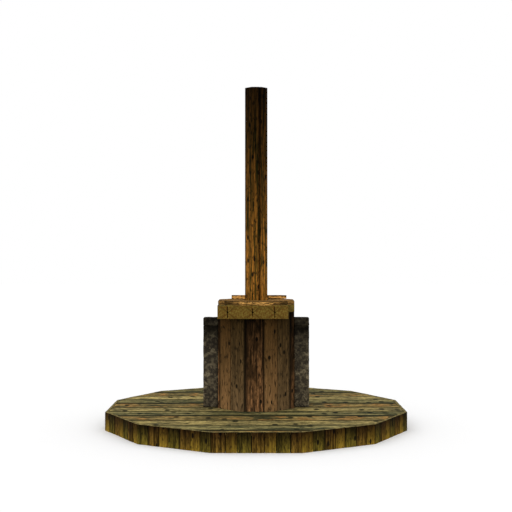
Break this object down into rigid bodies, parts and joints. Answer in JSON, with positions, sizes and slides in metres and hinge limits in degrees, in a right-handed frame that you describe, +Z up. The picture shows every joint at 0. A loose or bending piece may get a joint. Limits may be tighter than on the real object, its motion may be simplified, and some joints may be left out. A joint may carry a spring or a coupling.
{
  "type": "windmill post on a plank deck",
  "caption": "Standing post of a windmill on a round plank deck, with a staved drum at its foot, stone cheeks, a head beam of three timbers and a lid; sails not fitted.",
  "frame": {"origin": "ground level on the post's axis, under the middle joist", "axes": "+Z up along the post, +Y back along the head beam, the front faces -Y"},
  "size_m": [3.8636, 3.8636, 4.453],
  "materials": {
    "deck_plank": "weathered",
    "joist": "rough sawn",
    "rim_board": "weathered",
    "stave": "weathered",
    "lid_board": "weathered",
    "beam_timber": "rough sawn",
    "post_timber": "weathered",
    "side_stone": "matte",
    "coping_stone": "matte"
  },
  "bodies": {
    "root": {"deck_planks": "deck_plank", "deck_joists": "joist", "rim_side_01": "rim_board", "rim_side_02": "rim_board", "rim_side_03": "rim_board", "rim_side_04": "rim_board", "rim_side_05": "rim_board", "rim_side_06": "rim_board", "rim_side_07": "rim_board", "rim_side_08": "rim_board", "rim_side_09": "rim_board", "rim_side_10": "rim_board", "rim_side_11": "rim_board", "rim_side_12": "rim_board", "drum_front": "stave", "drum_front_right": "stave", "drum_right": "stave", "drum_back_right": "stave", "drum_back": "stave", "drum_back_left": "stave", "drum_left": "stave", "drum_front_left": "stave", "curb_right": "lid_board", "lid_boards": "lid_board", "lid_batten": "lid_board", "beam_timber_left": "beam_timber", "beam_timber_front": "beam_timber", "beam_timber_back": "beam_timber", "beam_timber_right": "beam_timber", "post": "post_timber", "stone_left": "side_stone", "stone_right": "side_stone", "coping_left": "coping_stone", "coping_right": "coping_stone"}
  },
  "joints": []
}
